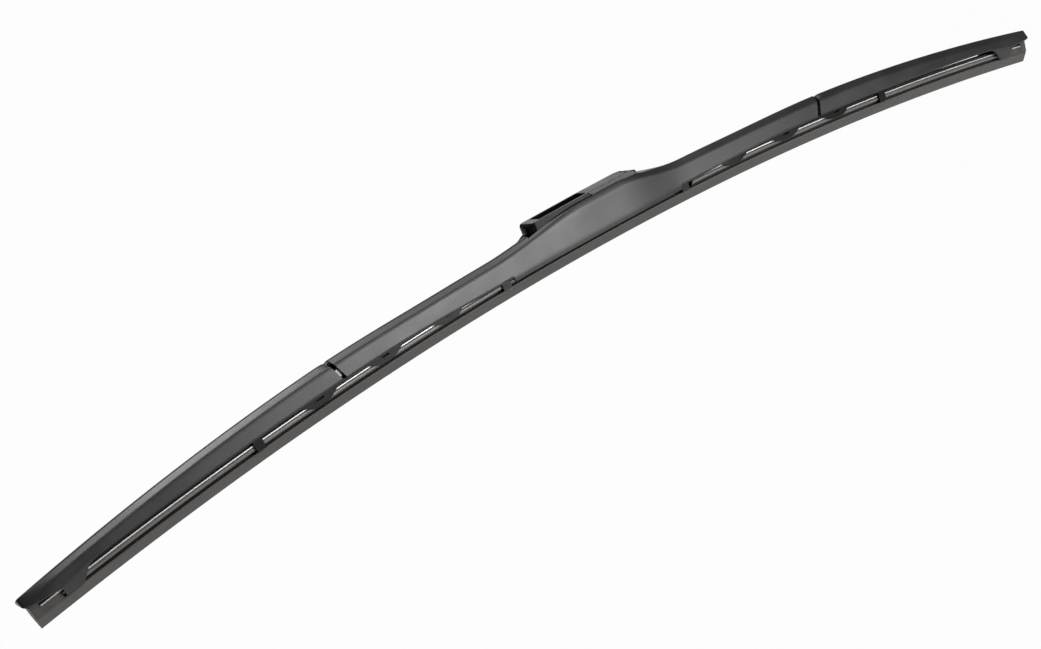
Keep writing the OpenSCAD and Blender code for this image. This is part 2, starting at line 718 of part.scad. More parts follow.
// Thin slice of a pad at y, w long and h tall
module pad_slice(s, y, w, h) {
    low = back_n(s, ridge_half) - pad_drop;
    plate(y, y + pad_slice_t, [[s - w / 2, low], [s + w / 2, low], [s + w / 2, low + h],
        [s - w / 2, low + h]]);
}

// Cover over an arm, with the end claw and a closed, rounded tip
module end_cover() {
    stations = concat([joint_s - ring_back_s - 1],
        steps(joint_s + ring_back_s, claw_in_s - claw_ramp - 1, 13),
        steps(claw_in_s - claw_ramp, claw_in_s, 5), steps(claw_in_s + 3, claw_out_s - claw_step, 3),
        [claw_out_s], steps(claw_out_s + 3, end_s, 4), steps(end_s + 1, tip_s, 2));
    color([0.22, 0.22, 0.22])
    union() {
        intersection() {
            shell(stations, [for (s = stations) end_ring(s)]);
            beyond_gap(cover_gap / 2);
        }
        for (s = [joint_s + pad_joint, (joint_s + claw_in_s) / 2, claw_in_s - pad_far, claw_in_s - pad_near])
            cover_pads(s, arm_half + clip_gap, cover_half - wall + root / 2);
        arc(claw_in_s + 0.5, claw_out_s - 0.8) end_claw_section();
        arc(tip_s - wall - tip_sink, tip_s - tip_sink) tip_wall();
    }
}

// Feet of the end claw, and the bar over the rubber
module end_claw_section() {
    band(claw_roof_n, claw_roof_n + 1, -cover_half + wall - 0.2, cover_half - wall + 0.2);
    for (side = [0, 1])
        mirror([0, side])
            band(foot_n, foot_n + yoke_t, neck_half + foot_gap, claw_half + 0.3);
}

// Section of the wall that closes the tip, its edge inside the cover's wall
module tip_wall() {
    low_half = cover_half * tip_squeeze - wall / 2;
    ridge_y = ridge_half * tip_squeeze - wall / 2;
    low = end_hem(tip_s) + root / 2;
    top = top_n(tip_s) - wall / 2;
    polygon([[low, -low_half], [edge_n(tip_s) - root, -ridge_y], [top, -crest_y], [top, crest_w - crest_y],
        [back_n(tip_s, ridge_half * tip_squeeze) - root, ridge_y], [low, low_half]]);
}

// Rubber element and strips

// Wiping rubber: lip, neck, flange, web and bead
module wiper_rubber() {
    body_s = end_s - strip_back - strip_gap;
    flange_s = end_s - clip_len - move_gap;
    color([0.24, 0.24, 0.22])
    union() {
        arc(-end_s, end_s)
            polygon([[0, -edge_half], [lip_h - shoulder_t - lip_straight, -shoulder_half + 0.5],
                [lip_h - shoulder_t, -shoulder_half], [lip_h, -shoulder_half], [lip_h, shoulder_half],
                [lip_h - shoulder_t, shoulder_half], [lip_h - shoulder_t - lip_straight, shoulder_half - 0.5],
                [0, edge_half]]);
        arc(-body_s, body_s) {
            band(lip_h - root, neck_top_n + root, -neck_half, neck_half);
            band(neck_top_n, bead_n, -web_half, web_half);
            band(bead_n, element_n, -bead_half, bead_half);
        }
        arc(-flange_s, flange_s) flange_section();
    }
}

// Flange under the strips, with rounded lower edges
module flange_section() {
    top = neck_top_n + flange_t;
    for (side = [0, 1])
        mirror([0, side]) {
            band(neck_top_n, top, 0, flange_half - flange_r);
            band(neck_top_n + flange_r, top, 0, flange_half);
            translate([neck_top_n + flange_r, flange_half - flange_r]) circle(r = flange_r, $fn = round_fn);
        }
}

// One spring strip, in the slot at the front or the rear of the web
module strip() {
    strip_s = end_s - strip_back;
    color([0.75, 0.75, 0.76])
    arc(-strip_s, strip_s) band(strip_n, strip_n + strip_t, web_half + strip_gap, strip_half);
}

// Clip at the rubber's end: a stop behind the strips and two legs in the groove below them
module end_clip() {
    color([0.27, 0.27, 0.25])
    union() {
        arc(end_s - strip_back + move_gap, end_s)
            band(lip_h + clip_gap, element_n + clip_rise, -flange_half, flange_half);
        for (side = [0, 1])
            mirror([0, side, 0])
                arc(end_s - clip_len, end_s - strip_back + move_gap + root)
                    band(lip_h + clip_gap, strip_n - clip_gap, web_half + clip_gap, flange_half - root);
    }
}

adapter();
adapter_cap();
pivot_bush();
pivot_rivet();
main_lever();
centre_cover();
mirror([1, 0, 0]) end_cover();  // left_end_cover
end_cover();  // right_end_cover
mirror([1, 0, 0]) arm_lever();  // left_arm_lever
arm_lever();  // right_arm_lever
mirror([1, 0, 0]) joint_pin();  // left_joint_pin
joint_pin();  // right_joint_pin
mirror([1, 0, 0]) joint_liner();  // left_joint_liner
joint_liner();  // right_joint_liner
mirror([1, 0, 0]) yoke();  // left_yoke
yoke();  // right_yoke
mirror([1, 0, 0]) yoke_pin();  // left_yoke_pin
yoke_pin();  // right_yoke_pin
mirror([1, 0, 0]) end_clip();  // left_end_clip
end_clip();  // right_end_clip
wiper_rubber();
mirror([0, 1, 0]) strip();  // front_strip
strip();  // rear_strip
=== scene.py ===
"""A hybrid windscreen wiper blade, dressed piece by piece in the order it is put together."""

import bpy
import bmesh
import numpy as np
from mathutils import Matrix, Vector


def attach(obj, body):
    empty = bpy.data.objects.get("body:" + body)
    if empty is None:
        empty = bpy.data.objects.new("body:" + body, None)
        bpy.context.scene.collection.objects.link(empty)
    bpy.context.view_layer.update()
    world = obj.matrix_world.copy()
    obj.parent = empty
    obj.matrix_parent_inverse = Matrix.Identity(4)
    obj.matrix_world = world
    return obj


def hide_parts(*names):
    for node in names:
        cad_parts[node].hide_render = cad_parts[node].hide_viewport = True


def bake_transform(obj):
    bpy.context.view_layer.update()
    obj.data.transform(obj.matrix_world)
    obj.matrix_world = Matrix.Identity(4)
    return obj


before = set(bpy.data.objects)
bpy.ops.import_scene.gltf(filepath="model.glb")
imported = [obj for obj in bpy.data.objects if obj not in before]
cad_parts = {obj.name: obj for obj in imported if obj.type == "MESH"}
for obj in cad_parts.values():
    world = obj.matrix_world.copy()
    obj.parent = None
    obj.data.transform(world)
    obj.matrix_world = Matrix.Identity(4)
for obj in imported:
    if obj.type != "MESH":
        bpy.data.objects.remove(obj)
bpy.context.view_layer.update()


# The levers, pins and liners: channels of pressed steel with black paint, bright riveted pins
# and moulded plastic liners between them. The covers hide them, so they show only through the
# side windows and the joints' gaps, and keep the shape of their solids.
class Tone:
    """A socket of a material. Plain Python sums of tones add Math nodes to the material."""

    def __init__(self, tree, socket=None):
        self.tree, self.socket = tree, socket

    def node(self, kind, settings, sockets, output=0):
        """Adds a node: its settings first, then a value or a link for each socket named."""
        made = self.tree.nodes.new("ShaderNode" + kind)
        for name, value in settings.items():
            setattr(made, name, value)
        for place, value in sockets.items():
            if isinstance(value, Tone):
                self.tree.links.new(value.socket, made.inputs[place])
            else:
                made.inputs[place].default_value = value
        return Tone(self.tree, made.outputs[output])

    def maths(self, operation, other):
        """A Math node on this tone and another tone or number."""
        return self.node("Math", {"operation": operation}, {0: self, 1: other})

    def __add__(self, other):
        return self.maths("ADD", other)

    def __mul__(self, other):
        return self.maths("MULTIPLY", other)

    __radd__, __rmul__ = __add__, __mul__

    def either(self, other):
        """The greater of two tones."""
        return self.maths("MAXIMUM", other)

    def between(self, low, high):
        """0 below low, 1 above high and a smooth step from one to the other."""
        return self.node("MapRange", {"interpolation_type": "SMOOTHSTEP"},
                         {"Value": self, "From Min": low, "From Max": high})

    def noise(self, scale, detail, stretch):
        """Noise over the object's own coordinates, drawn out along an axis of small stretch."""
        place = self.node("TexCoord", {}, {}, "Object")
        turned = self.node("Mapping", {}, {"Vector": place, "Scale": stretch})
        return self.node("TexNoise", {}, {"Vector": turned, "Scale": scale, "Detail": detail})


def grey(value, warm=0.0):
    """A grey of that linear value, a little warmer where warm is above 0."""
    return (value * (1 + warm), value, value * (1 - 1.3 * warm), 1)


def surface(name, low, high, mottle, rough, spread, grain, depth, stretch=(1, 1, 1), **constants):
    """A material whose colour runs from low to high in soft mottles, whose roughness wanders by
    spread over the same mottles, and whose surface has a fine grain of that depth in metres.
    mottle and grain are the scales of the two patterns."""
    made = bpy.data.materials.new(name)
    made.use_nodes = True
    tree = made.node_tree
    shader = tree.nodes["Principled BSDF"]
    start = Tone(tree)
    cloud = start.noise(mottle, detail=4.0, stretch=stretch).between(0.3, 0.7)
    colour = start.node("Mix", {"data_type": "RGBA"}, {0: cloud, 6: low, 7: high}, 2)
    height = start.noise(grain, detail=2.0, stretch=stretch)
    bump = start.node("Bump", {}, {"Strength": 0.6, "Distance": depth, "Height": height})
    tree.links.new(colour.socket, shader.inputs["Base Color"])
    tree.links.new((cloud * spread + (rough - spread / 2)).socket, shader.inputs["Roughness"])
    tree.links.new(bump.socket, shader.inputs["Normal"])
    for socket, value in constants.items():
        shader.inputs[socket.replace("_", " ")].default_value = value
    return made


lever_paint = surface("lever_paint", grey(0.012), grey(0.018), mottle=90.0, rough=0.34,
                      spread=0.10, grain=1800.0, depth=0.00001)
bright_steel = surface("bright_steel", grey(0.22), grey(0.30), mottle=700.0, rough=0.38,
                       spread=0.12, grain=4000.0, depth=0.000006, Metallic=1.0)
liner_plastic = surface("liner_plastic", grey(0.30, 0.04), grey(0.36, 0.04), mottle=200.0,
                        rough=0.48, spread=0.06, grain=4000.0, depth=0.00001)
for material, nodes in (
        (lever_paint, ("main_lever", "left_arm_lever", "right_arm_lever")),
        (bright_steel, ("pivot_rivet", "left_joint_pin", "right_joint_pin",
                        "left_yoke_pin", "right_yoke_pin")),
        (liner_plastic, ("pivot_bush", "left_joint_liner", "right_joint_liner"))):
    for node in nodes:
        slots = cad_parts[node].data.materials
        slots.clear()
        slots.append(material)


# The three covers: aerofoil shells that hide the levers and press the blade down in the wind,
# injection-moulded in black glass-filled plastic with a fine satin grain. The middle one clips
# to the main lever and the outer two to the arm levers, with a slanted gap over each joint.

# Radius of the wiping edge, height of the rivet over it, ends of the rubber and of the covers.
CAMBER, RIVET_N, END_S, TIP_S = 1.940, 0.021, 0.325, 0.3270
# Arm joint, and where the middle cover ends and an end cover starts, at the height GAP_N.
JOINT_S, MIDDLE_CUT, END_CUT = 0.157, 0.157 - 0.0014, 0.157 + 0.0008
GAP_N, GAP_SLANT, GAP_LEAN = 0.0165, 0.3249, 0.012
COVER_WALL, COVER_ROUNDING = 0.0013, 0.00018
# Heights of the ridge and the top: beside the joints, their drops from there, and at the adapter.
RIDGE_N, TOP_N, WAIST_DROP, TIP_DROP, NOSE_DROP = 0.0202, 0.0232, 0.0009, 0.0052, 0.001
MIDDLE_RIDGE_N, MIDDLE_TOP_N = 0.0250, 0.0267
# Where the waist is lowest, the power of the fall to the tip, the ridge's share of both drops, the
# length of the nose, and how far under the ridge its inner skin lies, as a share of the wall.
WAIST_S, FALL_POWER, RIDGE_WAIST, RIDGE_FALL, NOSE_RUN = 0.092, 1.7, 0.7, 0.92, 0.018
RIDGE_INSET = 0.8
# Half widths at the ridge and at the hem, and what the swell adds to both.
RIDGE_Y, HEM_Y, SWELL_Y = 0.0072, 0.008, 0.00158
# The top's flat from the middle plane, the slope behind it, and the shoulders at the adapter.
FLAT_FRONT, FLAT_REAR, REAR_SLOPE, SHOULDER, LEAST_SHOULDER = 0.004, -0.003, 0.35, 0.0012, 0.0008
RIDGE_ROUNDING, RIDGE_SINK, ROOF_ROUNDING = 0.0009, 0.0001, 0.00015
# Half width of the opening's rim, and the share that it narrows by beyond the opening.
RIM_Y, RIM_TAPER, RIM_FADE = 0.0061, 0.35, (0.050, 0.080)
# Stretches over which the front's swell and the raised rear fade, on the nose and the tail side.
SWELL_FADES, REAR_FADES = ((0.003, 0.065), (0.020, 0.062)), ((0.028, 0.040), (0.036, 0.052))
# Points of a section along a side's foot, its wall, its ridge, the slope to the rim and the top.
FOOT_POINTS, WALL_POINTS, RIDGE_POINTS, SLOPE_POINTS, TOP_POINTS = 4, 7, 7, 6, 28


def ease(x, a, b):
    """Smooth step: 0 before a, 1 after b, and t squared times (3 - 2 t) between them."""
    t = np.clip((x - a) / (b - a), 0, 1)
    return t * t * (3 - 2 * t)


def mix(a, b, t):
    """a where t is 0, b where t is 1, and a straight line between."""
    return a + (b - a) * t


def on_camber(s, n, y):
    """Places on the cambered blade: s along the wiping edge and n above it is the point at radius
    camber + n from the camber's centre, turned s / camber from the top. y is across the blade."""
    turn, radius = s / CAMBER, CAMBER + n
    z = radius * np.cos(turn) - CAMBER - RIVET_N
    return np.stack([radius * np.sin(turn), y + 0 * s, z], -1)


def beside_adapter(s, fades):
    """1 beside the adapter, with a smooth step down to 0 on its nose side and its tail side."""
    nose, tail = fades
    return np.where(s < 0, 1 - ease(-s, *nose), 1 - ease(s, *tail))


def cover_heights(s):
    """Front ridge and top of the covers at s: a shallow waist, a fall to the tip by a power of the
    way there, and a swell beside the adapter."""
    swell = beside_adapter(s, SWELL_FADES)
    waist = WAIST_DROP * (1 - ease(abs(s), WAIST_S, JOINT_S))
    fall = TIP_DROP * np.clip((abs(s) - JOINT_S) / (TIP_S - JOINT_S), 0, None) ** FALL_POWER
    nose = NOSE_DROP * ease(abs(s), END_S - NOSE_RUN, TIP_S)
    ridge = mix(RIDGE_N - RIDGE_WAIST * waist - RIDGE_FALL * fall, MIDDLE_RIDGE_N, swell) - nose
    return ridge, mix(TOP_N - waist - fall, MIDDLE_TOP_N, swell)


def cover_ring(s, low, hem, squeeze, inset):
    """Section of a cover at each s as (y, n) columns, from the front lower edge over the top to
    the rear one. low and hem are the lowest corners of both sides. The roof is the soft minimum
    of a steep front bevel, the flat top and a long rear slope, and a quadratic curve joins it to
    each side. inset gives the inner skin."""
    swell, rear = beside_adapter(s, SWELL_FADES), beside_adapter(s, REAR_FADES)
    ridge_n, top_n = cover_heights(s)
    ridge_y = (RIDGE_Y + SWELL_Y * swell) * squeeze
    front_y = mix(FLAT_FRONT, ridge_y - SHOULDER, swell)
    back_y = mix(FLAT_REAR, ridge_y - SHOULDER, rear)
    back_n = mix(top_n - REAR_SLOPE * (ridge_y - back_y), ridge_n, rear)
    ridge_y, top_n = ridge_y - inset, top_n - inset
    ridge_n, back_n = ridge_n - RIDGE_INSET * inset, back_n - RIDGE_INSET * inset
    front_slope = (top_n - ridge_n) / (ridge_y - np.minimum(front_y, ridge_y - LEAST_SHOULDER))
    back_slope = (top_n - back_n) / (ridge_y - np.minimum(back_y, ridge_y - LEAST_SHOULDER))

    def roof(y):
        """-k ln(sum of exp(-plane / k)) over the three planes, where k is the rounding."""
        planes = np.stack([ridge_n[:, None] + (y + ridge_y[:, None]) * front_slope[:, None],
                           top_n[:, None] + 0 * y,
                           back_n[:, None] + (ridge_y[:, None] - y) * back_slope[:, None]])
        least = planes.min(0)
        return least - ROOF_ROUNDING * np.log(np.exp(-(planes - least) / ROOF_ROUNDING).sum(0))

    def side(sign, n):
        """Lower edge, wall and rounded ridge of one side, whose ridge has the height n."""
        ridge = np.stack([ridge_y, n - RIDGE_SINK], -1)
        corner = np.stack([hem[0] - inset, hem[1]], -1)
        foot = np.stack([low[0] - inset, low[1]], -1)
        up = (corner - ridge) / np.linalg.norm(corner - ridge, axis=-1, keepdims=True)
        start, over = ridge + up * RIDGE_ROUNDING, ridge - np.array([RIDGE_ROUNDING, 0])
        over[:, 1] = roof(sign * over[:, :1])[:, 0]
        foot, corner, start, ridge, over = (p[:, None] for p in (foot, corner, start, ridge, over))
        low_part = mix(foot, corner, np.linspace(0, 1, FOOT_POINTS)[None, :, None])
        wall = mix(corner, start, np.linspace(0, 1, WALL_POINTS + 2)[None, 1:-1, None])
        t = np.linspace(0, 1, RIDGE_POINTS)[None, :, None]
        curve = start * (1 - t) ** 2 + 2 * ridge * t * (1 - t) + over * t**2
        return np.concatenate([low_part, wall, curve], 1) * [sign, 1]

    front, back = side(-1, ridge_n), side(1, back_n)
    rim = (RIM_Y * (1 - RIM_TAPER * ease(abs(s), *RIM_FADE)) * squeeze)[:, None]
    slope = np.linspace(0, 1, SLOPE_POINTS + 1)[None, 1:]
    top = np.linspace(0, 1, TOP_POINTS + 1)[None, 1:]
    ys = np.concatenate([mix(front[:, -1, 0:1], -rim, slope), mix(-rim, rim, top),
                         mix(rim, back[:, -1, 0:1], slope)[:, :-1]], 1)
    return np.concatenate([front, np.stack([ys, roof(ys)], -1), back[:, ::-1]], 1)


def grid_faces(rows, columns):
    """Quads between the neighbouring rows and columns of a grid of points."""
    i, j = np.meshgrid(np.arange(rows - 1), np.arange(columns - 1), indexing="ij")
    a = (i * columns + j).ravel()
    return np.stack([a, a + 1, a + columns + 1, a + columns], -1)


def strip_faces(one, other):
    """Quads between two lists of point numbers of equal length."""
    return np.stack([one[:-1], one[1:], other[1:], other[:-1]], -1)


def make_piece(name, points, faces, material):
    """A mesh object from an array of points and a list of faces, with its doubles merged and its
    faces turned outwards, smooth except at edges sharper than 0.6 radians."""
    mesh = bpy.data.meshes.new(name)
    faces = [list(dict.fromkeys(face)) for face in faces]
    mesh.from_pydata(points.reshape(-1, 3).tolist(), [], [face for face in faces if len(face) > 2])
    shape = bmesh.new()
    shape.from_mesh(mesh)
    bmesh.ops.remove_doubles(shape, verts=shape.verts, dist=1e-7)
    bmesh.ops.recalc_face_normals(shape, faces=shape.faces)
    shape.to_mesh(mesh)
    shape.free()
    mesh.shade_smooth()
    mesh.set_sharp_from_angle(angle=0.6)
    mesh.materials.append(material)
    piece = bpy.data.objects.new(name, mesh)
    bpy.context.scene.collection.objects.link(piece)
    return piece


def round_edges(piece, width, sharp):
    """Rounds the edges sharper than the angle sharp, as they come from a mould."""
    rounding = piece.modifiers.new("rounding", "BEVEL")
    rounding.width, rounding.segments, rounding.angle_limit = width, 2, sharp
    rounding.use_clamp_overlap, rounding.harden_normals = True, True


def cover_shell(name, outer, inner, opening=None):
    """Closed shell from an outer and an inner grid of the same shape: rims join them along both
    lower edges and at the ends. With an opening, its block of quads is left out and rimmed, and
    without one the far end is a closed tip, each skin's left half joined to its right half."""
    rows, columns = outer.shape[:2]
    count = rows * columns
    number = np.arange(count).reshape(rows, columns)
    kept = np.ones((rows - 1, columns - 1), bool)
    faces = [strip_faces(rim, rim + count) for rim in (number[:, 0], number[:, -1], number[0])]
    last = number[-1]
    if opening:
        i0, i1, j0, j1 = opening
        kept[i0:i1, j0:j1] = False
        ring = np.concatenate([number[i0, j0:j1], number[i0:i1, j1],
                               number[i1, j1:j0:-1], number[i1:i0 - 1:-1, j0]])
        faces += [strip_faces(ring, ring + count), strip_faces(last, last + count)]
    else:
        half = columns // 2 + 1
        faces += [strip_faces(skin[:half], skin[::-1][:half]) for skin in (last, last + count)]
        faces.append(np.array([[last[0], last[-1], last[-1] + count, last[0] + count]]))
    quads = grid_faces(rows, columns)[kept.ravel()]
    faces = np.concatenate([quads, quads[:, ::-1] + count] + faces).tolist()
    piece = make_piece(name, np.concatenate([outer, inner]), faces, cover_plastic)
    round_edges(piece, COVER_ROUNDING, 0.75)
    return piece


def slanted(s, n, cut, side):
    """s moved so that the last 12 mm before the cut lean with it: the cut's s grows with n."""
    return s + (1 - ease(side * (s - cut), 0, GAP_LEAN)) * (n - GAP_N) * GAP_SLANT


cover_plastic = surface("cover_plastic", grey(0.015), grey(0.019, 0.02), mottle=55.0, rough=0.34,
                        spread=0.05, grain=5200.0, depth=0.000006, Specular_IOR_Level=0.5)

# The middle cover is moulded with the rest. Its lower edge drops to a skirt that hides the main
# lever, and its top is cut open there for the adapter.
SKIRT_S, SKIRT_STEP, SKIRT_LOW_N, SKIRT_N, SKIRT_TUCK = 0.0554, 0.0006, 0.0082, 0.0102, 0.0001
MIDDLE_HEM_N, HEM_DIP, HEM_RISE, HEM_H, HEM_TUCK = 0.0125, 0.002, 0.020, 0.0005, 0.0002
OPEN_FROM, OPEN_TO = -0.0386, 0.0356
half_s = np.concatenate([np.arange(0, 0.0540, 0.0015),
                         SKIRT_S + np.array([-0.0014, -0.0008, -0.0005, -0.0002, 0, 0.0004]),
                         np.arange(0.0575, 0.1535, 0.003),
                         MIDDLE_CUT - np.array([0.0012, 0.0004, 0])])
middle_s = np.unique(np.concatenate([-half_s, half_s, [OPEN_FROM, OPEN_FROM + 0.0002],
                                     [OPEN_TO, OPEN_TO - 0.0002]]))


def middle_skin(s, inset):
    """Outer or inner skin of the middle cover: its section at each s, with the lower corners
    eased from the hem to the skirt, and both ends slanted."""
    skirt = 1 - ease(abs(s), SKIRT_S - SKIRT_STEP, SKIRT_S)
    hem = MIDDLE_HEM_N - HEM_DIP * (1 - ease(abs(s), SKIRT_S, JOINT_S - HEM_RISE))
    low_y = HEM_Y + SWELL_Y * beside_adapter(s, SWELL_FADES)
    low = low_y - mix(HEM_TUCK, SKIRT_TUCK, skirt), mix(hem - HEM_H, SKIRT_LOW_N, skirt)
    ring = cover_ring(s, low, (low_y, mix(hem, SKIRT_N, skirt)), 1.0, inset)
    y, n = ring[..., 0], ring[..., 1]
    along = np.sign(s)[:, None] * slanted(abs(s)[:, None], n, MIDDLE_CUT, -1)
    return on_camber(along, n, y)


middle_outer, middle_inner = middle_skin(middle_s, 0.0), middle_skin(middle_s, COVER_WALL)
rim_column = FOOT_POINTS + WALL_POINTS + RIDGE_POINTS + SLOPE_POINTS - 1
opening = (int(np.argmin(abs(middle_s - OPEN_FROM))), int(np.argmin(abs(middle_s - OPEN_TO))),
           rim_column, middle_outer.shape[1] - 1 - rim_column)
middle_cover = cover_shell("middle_cover_shell", middle_outer, middle_inner, opening)
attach(middle_cover, "frame")
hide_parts("centre_cover")

# The end covers are one moulding and its mirror image, each clipped to its arm lever. Near the
# tip the sides reach in as the end claw, which grips the strips, and the tip itself is closed.
CLAW_FROM, CLAW_TO, CLAW_OUT, CLAW_END = 0.2935, 0.3025, 0.3098, 0.0004
CLAW_Y, CLAW_N = 0.0057, 0.00575
END_HEM_S = [0.217, 0.290, 0.301, CLAW_OUT, 0.316, 0.3205, 0.3245, TIP_S]
END_HEM_N = [0.0128, 0.0132, 0.0122, 0.0112, 0.0122, 0.0126, 0.0132, 0.0137]
TIP_N, TIP_ROUNDING, TIP_TURN, TIP_CLOSE = 0.0156, 0.006, 0.0019, 0.30
TIP_SQUEEZE, TIP_NARROW, TIP_LOWER = 0.12, 0.60, 0.30
CORNER_DROP, CORNER_Y, CORNER_WIDE, CORNER_LONG = 0.0009, 0.0035, (0.0012, 0.004), (-0.0012, 0.0030)
end_s = np.concatenate([END_CUT + np.array([0, 0.0004, 0.0008, 0.0014, 0.0022]),
                        np.arange(0.1625, 0.290, 0.0035),
                        np.arange(0.2905, CLAW_OUT - 0.0008, 0.0011),
                        CLAW_OUT + np.array([-0.0005, -0.0003, -0.0001, 0.0001]),
                        np.arange(CLAW_OUT + 0.002, TIP_S - 0.003, 0.0018),
                        TIP_S - np.array([0.0022, 0.0014, 0.0009, 0.0005, 0.0002, 0])])


def end_skin(s, inset):
    """Outer or inner skin of the right end cover: its section at each s. Over the last 6 mm the
    section shrinks along an ellipse, from above and from the side, and over the last 2 mm of the
    outer skin by a share of a quarter circle more. The corner at the gap falls by 0.9 mm."""
    claw = ease(s, CLAW_FROM, CLAW_TO) * (1 - ease(s, CLAW_OUT - CLAW_END, CLAW_OUT))
    hem = np.interp(s, END_HEM_S, END_HEM_N)
    squeeze = 1 - TIP_SQUEEZE * ease(s, CLAW_OUT, TIP_S)
    low = mix(HEM_Y - HEM_TUCK, CLAW_Y, claw) * squeeze, mix(hem - HEM_H, CLAW_N, claw)
    ring = cover_ring(s, low, (HEM_Y * squeeze, hem), squeeze, inset)
    far = np.clip(1 - (TIP_S - s) / TIP_ROUNDING, 0, 1)
    turn = np.clip(1 - (TIP_S - s) / TIP_TURN, 0, 1) if not inset else 0 * s
    close = 1 - TIP_CLOSE * (1 - np.sqrt(1 - turn**2))
    narrow = (close * np.sqrt(1 - (TIP_NARROW * far) ** 2))[:, None]
    lower = (close * np.sqrt(1 - (TIP_LOWER * far) ** 2))[:, None]
    y, n = ring[..., 0] * narrow, TIP_N + (ring[..., 1] - TIP_N) * lower
    corner = CORNER_DROP * (1 - ease(s - END_CUT, *CORNER_LONG))[:, None]
    n = n - corner * (1 - ease(abs(y + CORNER_Y), *CORNER_WIDE))
    return on_camber(slanted(s[:, None], n, END_CUT, 1), n, y)


end_outer = end_skin(end_s, 0.0)
end_inner = end_skin(np.minimum(end_s, TIP_S - COVER_WALL), COVER_WALL)
for side, name in ((1, "right"), (-1, "left")):
    flip = np.array([side, 1, 1])
    cover = cover_shell(name + "_cover_shell", end_outer * flip, end_inner * flip)
    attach(cover, name + "_arm")
    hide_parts(name + "_end_cover")


# The yokes: bridges of black plastic, moulded in one piece and pinned to the arm levers, which
# share an arm's load between two claws. Their lobes and slots show below the covers.
ARCH_LIFT, ARCH_FROM, ARCH_TO, ARCH_BELOW = 0.0006, 0.0063, 0.0099, 0.00995


def softened(node, name, width, material, body, lift=0.0):
    """A copy of a CAD node with its loose triangles merged, its flat faces joined and its edges
    rounded by width. It takes the node's place. lift raises the lower edge between the lobes of a
    yoke: the points below its slots rise by a share of it that grows with their height."""
    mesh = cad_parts[node].data.copy()
    mesh.name = name
    shape = bmesh.new()
    shape.from_mesh(mesh)
    bmesh.ops.remove_doubles(shape, verts=shape.verts, dist=2e-6)
    bmesh.ops.dissolve_limit(shape, angle_limit=0.01, verts=shape.verts, edges=shape.edges)
    shape.to_mesh(mesh)
    shape.free()
    if lift:
        places = np.empty((len(mesh.vertices), 3), np.float32)
        mesh.vertices.foreach_get("co", places.ravel())
        n = np.hypot(places[:, 0], places[:, 2] + CAMBER + RIVET_N) - CAMBER
        share = np.clip((n - ARCH_FROM) / (ARCH_TO - ARCH_FROM), 0, 1)
        places[:, 2] += lift * np.where(n < ARCH_BELOW, share, 0)
        mesh.vertices.foreach_set("co", places.ravel())
        mesh.update()
    mesh.materials.clear()
    mesh.materials.append(material)
    mesh.shade_smooth()
    mesh.set_sharp_from_angle(angle=0.5)
    piece = bpy.data.objects.new(name, mesh)
    bpy.context.scene.collection.objects.link(piece)
    round_edges(piece, width, 0.5)
    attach(piece, body)
    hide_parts(node)
    return piece


yoke_plastic = surface("yoke_plastic", grey(0.006), grey(0.009, 0.02), mottle=70.0, rough=0.28,
                       spread=0.08, grain=5200.0, depth=0.000012, Specular_IOR_Level=0.2)
for side in ("left", "right"):
    yoke = softened(side + "_yoke", side + "_yoke_moulding", 0.00012, yoke_plastic,
                    side + "_yoke", ARCH_LIFT)


# The adapter: a glossy black moulding that hooks into the wiper arm and swings on the rivet, with
# a satin cap clipped over its tail. Both are injection-moulded, with well-rounded edges.
gloss_black = surface("gloss_black", grey(0.006), grey(0.009), mottle=120.0, rough=0.15,
                      spread=0.06, grain=900.0, depth=0.000004, Specular_IOR_Level=1.0, IOR=1.13)
cap_plastic = surface("cap_plastic", grey(0.020), grey(0.026, 0.02), mottle=80.0, rough=0.33,
                      spread=0.06, grain=5200.0, depth=0.000008)
adapter = softened("adapter", "adapter_moulding", 0.0004, gloss_black, "adapter")
cap = softened("adapter_cap", "adapter_cap_moulding", 0.0003, cap_plastic, "adapter")


# The wiping element: extruded natural rubber, treated with graphite on its lip, and two strips
# of spring steel in its side slots. Each is three pieces that meet inside the yokes' claws: the
# middle sinks with the element, and the outer ones stay where they are built.
CLAW_S, SEAM, STRIP_BACK, NECK_BACK, FLANGE_BACK = 0.059, 0.00004, 0.0046, 0.00465, 0.0149
BEND_FROM, BEND_TO, BEND_N, STATION = 0.205, 0.297, 0.009, 0.0025
rubber = surface("rubber", grey(0.065, 0.05), grey(0.090, 0.07), mottle=260.0, rough=0.52,
                 spread=0.12, grain=2600.0, depth=0.00002, stretch=(0.06, 1, 1),
                 Specular_IOR_Level=0.5)
flange_rubber = surface("flange_rubber", grey(0.085, 0.03), grey(0.13, 0.04), mottle=240.0,
                        rough=0.34, spread=0.08, grain=2600.0, depth=0.000008,
                        stretch=(0.05, 1, 1), Specular_IOR_Level=0.9)
# The neck and bead are black rubber, and their colour is darkened further as painted shade for the
# dark cavity between the covers' hems and the flange.
neck_rubber_painted_shade = surface("neck_rubber_painted_shade", grey(0.008), grey(0.012), mottle=240.0, rough=0.55,
                      spread=0.10, grain=2600.0, depth=0.00001, Specular_IOR_Level=0.3)
strip_steel = surface("strip_steel", grey(0.50, 0.02), grey(0.62, 0.02), mottle=300.0, rough=0.42,
                      spread=0.08, grain=3000.0, depth=0.000004, stretch=(0.04, 1, 1),
                      Metallic=1.0)


def rounded_ring(corners, radii, steps):
    """A closed outline in metres from corners in millimetres, each replaced by a quadratic curve
    that starts and ends at the corner's radius from it."""
    b, reach = np.array(corners) * 1e-3, np.array(radii)[:, None] * 1e-3
    before, after = np.roll(b, 1, 0) - b, np.roll(b, -1, 0) - b
    start = b + reach * before / np.linalg.norm(before, axis=1, keepdims=True)
    stop = b + reach * after / np.linalg.norm(after, axis=1, keepdims=True)
    t = np.linspace(0, 1, steps)[None, :, None]
    curve = start[:, None] * (1 - t) ** 2 + 2 * b[:, None] * t * (1 - t) + stop[:, None] * t**2
    return curve.reshape(-1, 2)


